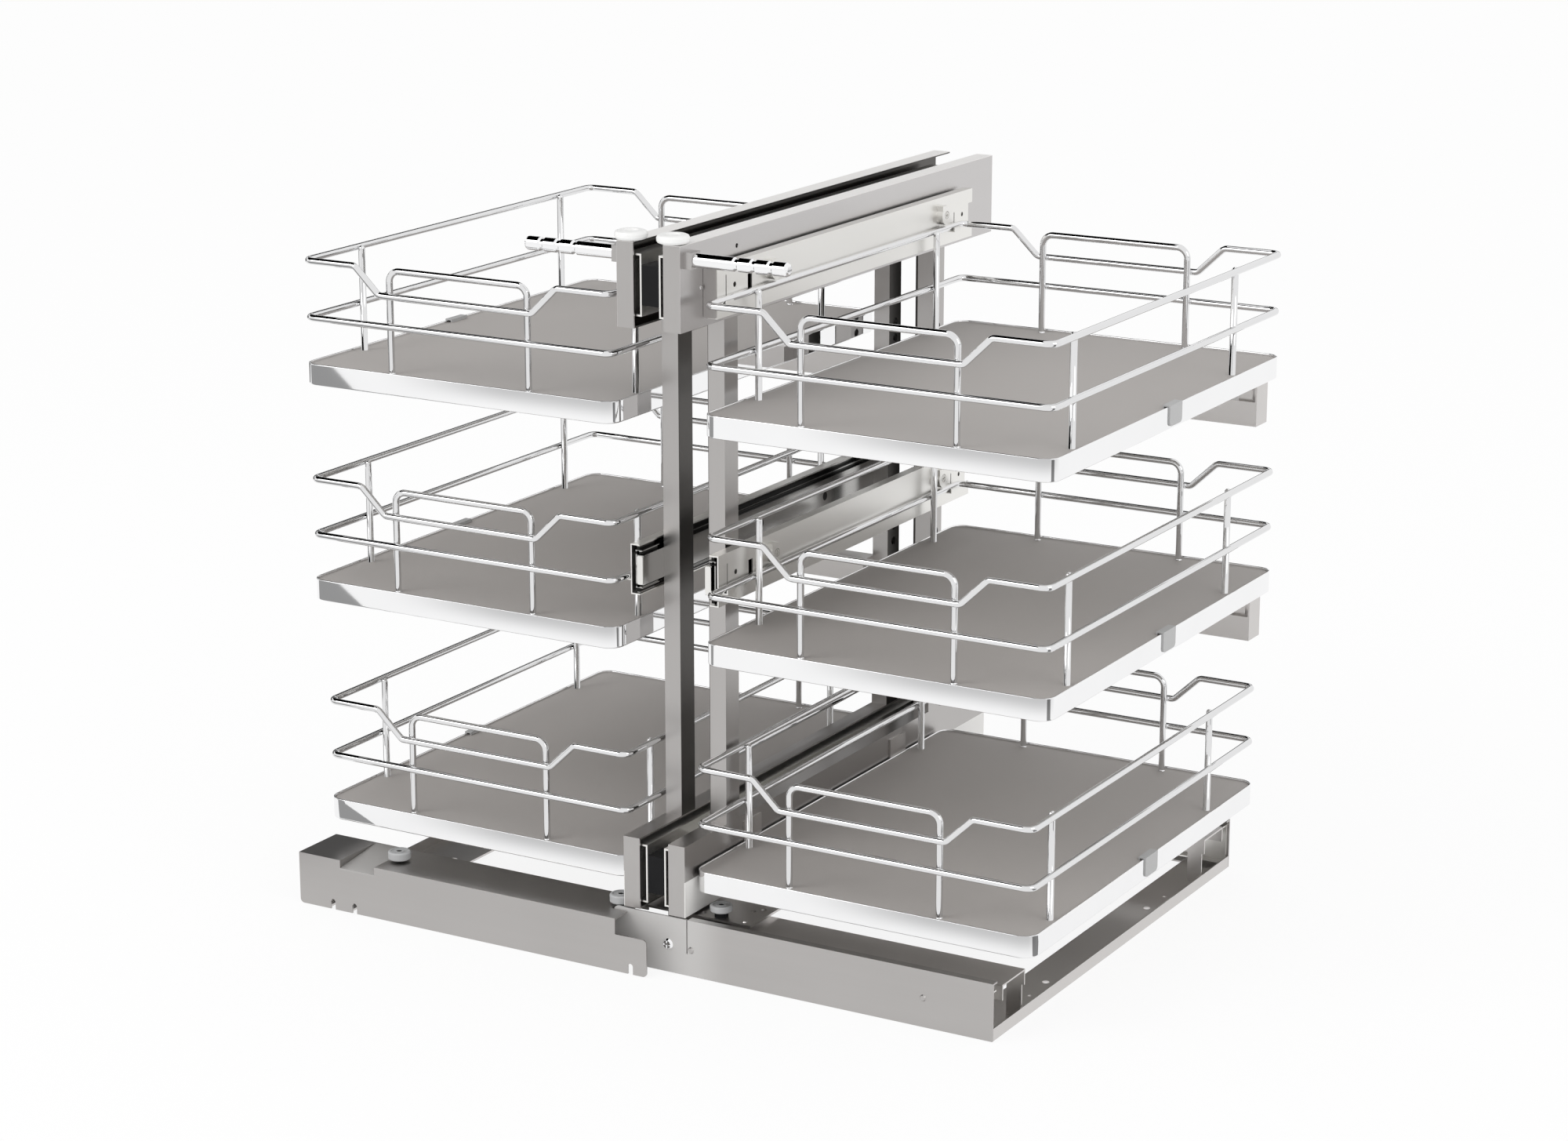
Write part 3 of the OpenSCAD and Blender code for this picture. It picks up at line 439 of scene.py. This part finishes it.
for material, names in dressing:
    for name in names:
        dress(name, material)
for tier in tierHeights:
    tray = trayFinish(f"taupe tray laminate, {tier}", *trayPlaces(tier))
    for side in sideTurns:
        dress(f"{side}_{tier}_tray", tray)
        dress(f"{side}_{tier}_rim", chrome)
        dress(f"{side}_{tier}_wires", chromeWire)
        if tier in slideHeights:
            dress(f"{side}_{tier}_slide", zincDeep)
            dress(f"{side}_{tier}_middle", zincRace)
print("finishes given to all CAD nodes")

bandSupport = {"longest": 4.0, "shares": (0.02, 0.98)}


def roundCorners(points, radii, steps, closed=True):
    # each corner is replaced by an arc of its radius that touches both straight pieces
    points = np.asarray(points, float)
    count = len(points)
    pieces = []
    for i in range(count):
        if not closed and i in (0, count - 1):
            pieces.append(points[i:i + 1])
            continue
        before, here, after = points[i - 1], points[i], points[(i + 1) % count]
        inward = (before - here) / np.linalg.norm(before - here)
        outward = (after - here) / np.linalg.norm(after - here)
        turn = math.pi - math.acos(float(np.clip(inward @ outward, -1, 1)))
        radius = radii[i] if np.ndim(radii) else radii
        reach = radius * math.tan(turn / 2)
        first = here + inward * reach
        bisector = (inward + outward) / np.linalg.norm(inward + outward)
        middle = here + bisector * radius / math.cos(turn / 2)
        a = first - middle
        b = -inward * radius
        angle = np.linspace(0, turn, steps)[:, None]
        pieces.append(middle + a * np.cos(angle) + b * np.sin(angle))
    return np.concatenate(pieces)


def supported(outline, closed=True):
    # two extra points near the ends of each long straight piece, so that smooth shading leaves it flat
    outline = np.asarray(outline, float)
    step = (np.roll(outline, -1, 0) if closed else np.vstack([outline[1:], outline[-1:]])) - outline
    index = np.arange(len(outline))
    long = np.linalg.norm(step, axis=1) > bandSupport["longest"]
    ends = [outline[long] + step[long] * share for share in bandSupport["shares"]]
    place = np.concatenate([index] + [index[long] + share for share in bandSupport["shares"]])
    return np.concatenate([outline] + ends)[np.argsort(place)]


def placed(name, data):
    thing = bpy.data.objects.new(name, data)
    bpy.context.scene.collection.objects.link(thing)
    return thing


def meshPiece(name, points, quads, caps, material, smooth=True, turn=1):
    # caps are always flat, and a turn of -1 reverses the faces of a mirrored piece
    mesh = bpy.data.meshes.new(name)
    faces = quads[:, ::turn].tolist() + [list(cap)[::turn] for cap in caps]
    mesh.from_pydata(points.tolist(), [], faces)
    mesh.polygons.foreach_set("use_smooth", [smooth] * len(quads) + [False] * len(caps))
    mesh.update()
    mesh.materials.append(material)
    return placed(name, mesh)


def gridFaces(rows, columns, closeRows, closeColumns, start=0):
    # quads between neighbouring points of a rows by columns grid
    r = np.arange(rows if closeRows else rows - 1)
    c = np.arange(columns if closeColumns else columns - 1)
    r, c = np.meshgrid(r, c, indexing="ij")
    rNext, cNext = (r + 1) % rows, (c + 1) % columns
    quads = np.stack([r * columns + c, r * columns + cNext, rNext * columns + cNext, rNext * columns + c], -1)
    return quads.reshape(-1, 4) + start


def tube(path, outward, radius, sides, closed):
    # circle of the wire's radius, from the outward direction and the one square to it and to the path
    if closed:
        tangent = np.roll(path, -1, 0) - np.roll(path, 1, 0)
    else:
        tangent = np.gradient(path, axis=0)
    tangent /= np.linalg.norm(tangent, axis=1, keepdims=True)
    outward = outward - tangent * np.sum(outward * tangent, 1, keepdims=True)
    outward /= np.linalg.norm(outward, axis=1, keepdims=True)
    across = np.cross(outward, tangent)
    angle = np.linspace(0, 2 * math.pi, sides, endpoint=False)[None, :, None]
    radius = np.broadcast_to(np.asarray(radius, float), (len(path),))[:, None, None]
    ring = path[:, None] + radius * (outward[:, None] * np.cos(angle) + across[:, None] * np.sin(angle))
    return ring.reshape(-1, 3), gridFaces(len(path), sides, closed, True), sides, closed


def joined(tubes):
    # several tubes in one mesh; the caps close the ends of the open ones
    points, quads, caps, start = [], [], [], 0
    for grid, faces, sides, isClosed in tubes:
        points.append(grid)
        quads.append(faces + start)
        if not isClosed:
            caps.append(range(start, start + sides))
            caps.append(range(start + len(grid) - 1, start + len(grid) - 1 - sides, -1))
        start += len(grid)
    return np.concatenate(points), np.concatenate(quads), caps


def ringNormals(path, halfX, halfY):
    # horizontal direction away from the nearest point of an inner rectangle
    inner = np.stack([np.clip(path[:, 0], -halfX, halfX), np.clip(path[:, 1], -halfY, halfY)], 1)
    away = path[:, :2] - inner
    away /= np.linalg.norm(away, axis=1, keepdims=True)
    return np.concatenate([away, np.zeros((len(path), 1))], 1)


def wireBasket(turn):
    # two closed wires round the basket, a handle loop at each end, and uprights at the sides
    s = basketSizes
    wire, sides = s["wire"], s["sides"]
    hx, hy, top, low = s["length"] / 2, s["depth"] / 2, s["height"], s["height"] - s["dip"]
    a, b = s["dipWidth"] / 2, s["dipWidth"] / 2 + s["slope"]
    upper = [(-hx, -hy, top), (-b, -hy, top), (-a, -hy, low), (a, -hy, low), (b, -hy, top), (hx, -hy, top),
             (hx, hy, top), (b, hy, top), (a, hy, low), (-a, hy, low), (-b, hy, top), (-hx, hy, top)]
    middle = [(x, y, s["middleWire"]) for x, y, z in upper if abs(x) == hx]
    bend, slope = s["bend"], s["slopeBend"]
    tubes = []
    for corners, bends in ((upper, [bend, slope, slope, slope, slope, bend] * 2), (middle, bend)):
        path = supported(roundCorners(corners, bends, s["bendSteps"]))
        tubes.append(tube(path, ringNormals(path, hx - bend, hy - bend), wire, sides, True))
    foot = s["rimHeight"] - s["floorDrop"]
    half, peak = s["loopWidth"] / 2, s["loopHeight"]
    for end in (-1, 1):
        y = end * (hy - s["inset"])
        loop = [(-half, y, foot), (-half, y, peak), (half, y, peak), (half, y, foot)]
        path = supported(roundCorners(loop, s["loopBend"], s["loopSteps"], False), False)
        tubes.append(tube(path, np.array([0.0, end, 0.0]), wire, sides, False))
    # uprights with domed tops: the radius falls as a quarter circle
    t = np.linspace(0, math.pi / 2, s["domeSteps"])[:-1]
    z = np.concatenate([[foot], top + s["domeRise"] - wire + wire * np.sin(t)])
    radius = wire * np.concatenate([[1], np.cos(t)])
    for end in (-1, 1):
        for place in s["uprights"]:
            x, y = end * (hx - s["inset"]), place - (s["stagger"] if end == turn else 0)
            path = np.stack([np.full_like(z, x), np.full_like(z, y), z], 1)
            tubes.append(tube(path, np.array([1.0, 0.0, 0.0]), radius, sides, False))
    return joined(tubes)


def rimBand():
    # profile of the band, rolled at its top edge and turned in below the tray, carried round the tray's plan
    s = basketSizes
    hx, hy = s["length"] / 2 + s["rimOver"], s["depth"] / 2 + s["rimOver"]
    wall, high, lip, corner = s["rimWall"], s["rimHeight"], s["rimLip"], s["rimCorner"]
    section = [(0, 0), (0, high), (-wall, high), (-wall, wall), (-lip, wall), (-lip, 0)]
    profile = supported(roundCorners(section, s["rimBends"], s["rimBendSteps"]))
    plan = [(-hx, -hy, 0), (hx, -hy, 0), (hx, hy, 0), (-hx, hy, 0)]
    path = supported(roundCorners(plan, corner, s["rimCornerSteps"]))
    away = ringNormals(path, hx - corner, hy - corner)
    grid = path[:, None] + away[:, None] * profile[None, :, :1]
    grid[:, :, 2] += profile[None, :, 1]
    return grid.reshape(-1, 3), gridFaces(len(path), len(profile), True, True)


def placeBasket(points, turn, tier):
    # moved to its place in the unit, mirrored for the left half, in metres
    s = basketSizes
    x = s["wireX"] + s["length"] / 2 - basketShift(tier)
    y = s["front"] + s["depth"] / 2 - midDepth
    return (points + [x, y, tierHeights[tier]]) * [turn * mm, mm, mm]


# one chrome per tier, with the painted reflection at the height of its band
rimChrome = {
    tier: chromeFinish(f"polished chrome band, {tier}", rimLow=height * mm)
    for tier, height in tierHeights.items()}
rimPoints, rimQuads = rimBand()
for side, turn in sideTurns.items():
    wirePoints, wireQuads, wireCaps = wireBasket(turn)
    for tier in tierHeights:
        body = f"{side}_frame" if tier == "bottom" else f"{side}_{tier}_basket"
        name = f"{side}_{tier}"
        wires = meshPiece(
            name + "_wire_basket", placeBasket(wirePoints, turn, tier), wireQuads, wireCaps, chromeWire,
            turn=turn)
        rim = meshPiece(
            name + "_rim_band", placeBasket(rimPoints, turn, tier), rimQuads, [], rimChrome[tier], turn=turn)
        for piece, node in ((wires, name + "_wires"), (rim, name + "_rim")):
            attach(piece, body)
            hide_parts(node)
print("baskets:", len(wirePoints), "points in each wire basket")

plugSizes = {
    "front": 36.0, "back": 36.9, "corner": 1.6, "cornerSteps": 5,
    "top": {"x": (31.2, 43.5), "half": 21.8},
    "middle": {"x": (31.3, 37.0), "half": 12.6},
}


def endPlug(tier):
    # rounded outline of the plate that closes the front end of a slide, carried back along the slide
    s = plugSizes
    (x0, x1), half = s[tier]["x"], s[tier]["half"]
    low, high = slideHeights[tier] - half, slideHeights[tier] + half
    corners = [(x0, 0, low), (x1, 0, low), (x1, 0, high), (x0, 0, high)]
    outline = roundCorners(corners, s["corner"], s["cornerSteps"])
    count = len(outline)
    grid = np.concatenate([outline + [0, s[face] - midDepth, 0] for face in ("front", "back")])
    return grid, gridFaces(2, count, False, True), [range(count), range(2 * count - 1, count - 1, -1)]


for tier in slideHeights:
    points, quads, caps = endPlug(tier)
    material = nickelDeep if tier == "top" else zincDeep
    for side, turn in sideTurns.items():
        plug = meshPiece(
            f"{side}_{tier}_slide_plug", points * [turn * mm, mm, mm], quads, caps, material,
            smooth=False, turn=turn)
        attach(plug, f"{side}_top_basket" if tier == "top" else f"{side}_frame")
print("slide plugs placed")

webSizes = {
    "x": (-322.2, -283.8), "thick": 1.0, "front": -20.5, "back": 33.0, "low": 39.7, "high": 47.0,
    "depth": 490.0,
}


def coverWebs(end):
    # triangle from the top of a cover down to its pressed stretch, one sheet thick, at both ends of it
    s = webSizes
    front, back = (s["depth"] - s[y] if end == "rear" else s[y] for y in ("front", "back"))
    corners = np.array([(0, front, s["low"]), (0, front, s["high"]), (0, back, s["high"])]) - [0, midDepth, 0]
    (x0, x1), thick = s["x"], s["thick"]
    points = np.concatenate([corners + [x, 0, 0] for x in (x0 - thick, x0, x1, x1 + thick)])
    # points 0 to 5 are the two sides of the first web, and 6 to 11 those of the second
    quads = np.concatenate([gridFaces(2, 3, False, True, start) for start in (0, 6)])
    return points, quads, [range(0, 3), range(5, 2, -1), range(6, 9), range(11, 8, -1)]


for end, turn in (("front", 1), ("rear", -1)):
    points, quads, caps = coverWebs(end)
    web = meshPiece(
        f"left_{end}_cover_webs", points * mm, quads, caps, nickelWide, smooth=False, turn=turn)
    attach(web, "base")
print("cover webs placed")

stageLook = {
    "reach": 14.0, "level": -0.0005, "albedo": (0.95, 0.95, 0.95, 1), "rough": 0.9, "glow": 0.88,
    "horizon": 1.35, "zenith": 0.65, "white": (1, 1, 1, 1), "black": (0, 0, 0, 1),
}


def floorFinish():
    made = Finish("pale floor", Roughness=stageLook["rough"], Base_Color=stageLook["albedo"])
    plain = Value(made, made.shader.outputs[0])
    glow = made.node("ShaderNodeEmission", None, {"Color": stageLook["white"]})
    # a Mix Shader takes its factor at input 0 and the two shaders at 1 and 2
    mix = made.node("ShaderNodeMixShader", None, {0: made.seen() * stageLook["glow"], 1: plain, 2: glow})
    made.tree.links.new(mix.socket, made.tree.nodes["Material Output"].inputs["Surface"])
    return made.material


noQuads = np.zeros((0, 4), int)
floorCorners = np.array([(-1, -1, 0), (1, -1, 0), (1, 1, 0), (-1, 1, 0)]) * stageLook["reach"]
floor = meshPiece(
    "studio_floor", floorCorners + [0, 0, stageLook["level"]], noQuads, [range(4)], floorFinish())

world = bpy.data.worlds.new("studio")
bpy.context.scene.world = world
sky = Finish("studio", world, "Background", Color=stageLook["white"])
# soft light that falls from the horizon, where it is strongest, to the zenith; the backdrop itself is white
ray = sky.node("ShaderNodeTexCoord", output="Generated")
rise = sky.node("ShaderNodeSeparateXYZ", None, {"Vector": ray}, "Z").maths("MAXIMUM", 0.0)
soft = stageLook["horizon"] - rise * (stageLook["horizon"] - stageLook["zenith"])
backdrop = sky.seen()
sky.feed("Strength", backdrop + (1 - backdrop) * soft)

cameraLook = {
    "at": (1.5783, -2.7729, 1.1671), "yaw": 30.077, "down": 15.290, "lens": 83.333, "sensor": 36.0,
    "farthest": 100.0,
}
eye = bpy.data.cameras.new("photo")
eye.lens = cameraLook["lens"]
eye.sensor_width = cameraLook["sensor"]
eye.sensor_fit = "HORIZONTAL"
eye.clip_end = cameraLook["farthest"]
viewer = placed("photo", eye)
viewer.location = cameraLook["at"]
viewer.rotation_euler = (math.radians(90 - cameraLook["down"]), 0, math.radians(cameraLook["yaw"]))
bpy.context.scene.camera = viewer
bpy.context.scene.view_settings.view_transform = "Standard"

lampTarget = (0, 0, 0.3)
lamps = {
    "key": {"at": (-1.6, -2.4, 2.6), "size": 1.6, "power": 26},
    "fill": {"at": (2.6, -0.6, 1.8), "size": 1.4, "power": 8},
}
for name, lamp in lamps.items():
    light = bpy.data.lights.new(name, "AREA")
    light.size = lamp["size"]
    light.energy = lamp["power"]
    holder = placed(name, light)
    holder.location = lamp["at"]
    x, y, z = np.subtract(lampTarget, lamp["at"])
    holder.rotation_euler = (math.atan2(math.hypot(x, y), -z), 0, math.atan2(-x, y))

# how far along the front of each left tray band the left floor flag shows, at the band's lower and upper edge
greyEnds = {"top": (-314.4, -337.8), "middle": (-311.8, -340.1), "bottom": (-305.5, -350.1)}


def mirroredSpot(x, y, z):
    # spot on the floor that the photo shows in an upright mirror at a place: the line from the mirror image
    # of the camera, through the place, down to the floor
    eyeX, eyeY, eyeZ = cameraLook["at"]
    imageY = 2 * y - eyeY
    reach = eyeZ / (eyeZ - z)
    return eyeX + (x - eyeX) * reach, imageY + (y - imageY) * reach


def greyEdge():
    # the spots of all ends, from the upper edge of the top band to the lower edge of the bottom one
    s = basketSizes
    y = (s["front"] - s["rimOver"] - midDepth) * mm
    spots = []
    for tier, (low, high) in greyEnds.items():
        for x, rise in ((high, s["rimHeight"]), (low, 0)):
            spots.append(mirroredSpot(x * mm, y, (tierHeights[tier] + rise) * mm))
    return spots


# flags that only reflections see: overhead, behind on the left, and on the floor to the left and right
flags = {
    "overhead": {"shade": 0.0, "heights": 3.0, "plan": (
        (-4.4, -2.4), (-0.6, -2.4), (-0.9, 3.1), (-1.7, 5.2), (-6.0, 5.2), (-5.0, 3.1))},
    "back_wall": {"shade": 0.16, "heights": (0.002, 0.002, 1.05, 1.05), "plan": (
        (-3.0, -0.4), (-0.3, 3.4), (-0.3, 3.4), (-3.0, -0.4))},
    "left_floor": {"shade": 0.32, "heights": 0.002, "plan": (
        (-0.40, -0.41), (-3.0, -0.41), (-3.0, -2.6), (-2.1, -2.45), *greyEdge())},
    "right_floor": {"shade": 0.25, "heights": 0.002, "plan": (
        (0.45, -0.22), (3.6, -1.7), (3.9, -0.5), (0.5, -0.08))},
}
for name, look in flags.items():
    made = Finish(
        "flag " + name, Base_Color=stageLook["black"], Roughness=1.0, Specular_IOR_Level=0,
        Emission_Color=stageLook["white"], Emission_Strength=look["shade"])
    count = len(look["plan"])
    corners = np.column_stack([look["plan"], np.broadcast_to(look["heights"], count)])
    flag = meshPiece("flag_" + name, corners, noQuads, [range(count)], made.material)
    for kind in ("camera", "diffuse", "shadow", "transmission"):
        setattr(flag, "visible_" + kind, False)
print("stage and camera placed")
